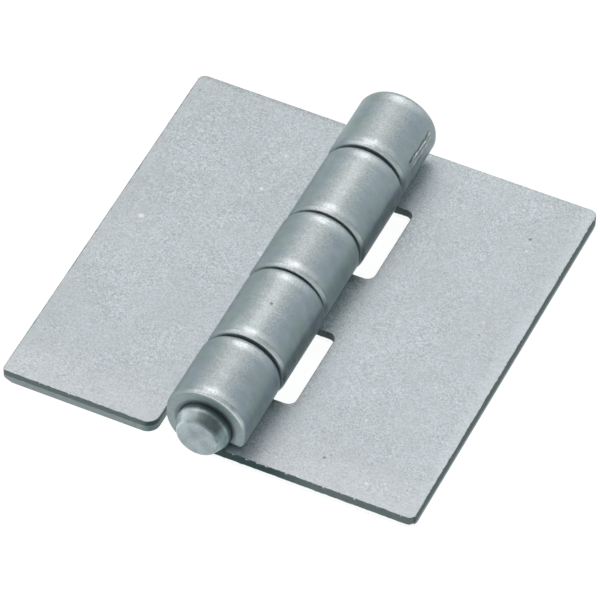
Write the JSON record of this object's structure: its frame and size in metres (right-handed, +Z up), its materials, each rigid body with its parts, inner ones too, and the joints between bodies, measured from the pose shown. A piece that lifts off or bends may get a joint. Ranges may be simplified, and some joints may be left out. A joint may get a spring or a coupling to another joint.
{
  "type": "weld-on hinge",
  "caption": "Plain steel weld-on butt hinge laid open flat: square leaves without holes, rolled interleaved knuckles and a thick pin whose tapered tip stands out at one end.",
  "frame": {"origin": "on the underside, below the pin axis, halfway along the overall length", "axes": "+X across the leaves, towards the three-knuckle leaf; +Y along the pin, away from its tip; +Z up from the weld faces"},
  "size_m": [0.1, 0.1064, 0.0199],
  "materials": {
    "leaf_steel": "bare rolled steel sheet, matt and finely mottled, with dark sheared edges",
    "pin_steel": "bare drawn steel bar, satin"
  },
  "bodies": {
    "fixed_leaf": {"three_knuckle_leaf": "leaf_steel", "hinge_pin": "pin_steel"},
    "swinging_leaf": {"two_knuckle_leaf": "leaf_steel"}
  },
  "joints": [
    {"name": "leaf_swing", "type": "hinge", "parent": "fixed_leaf", "child": "swinging_leaf", "pos_m": [0, 0, 0.01003], "axis": [0, 1, 0], "range_deg": [-95, 190]}
  ]
}
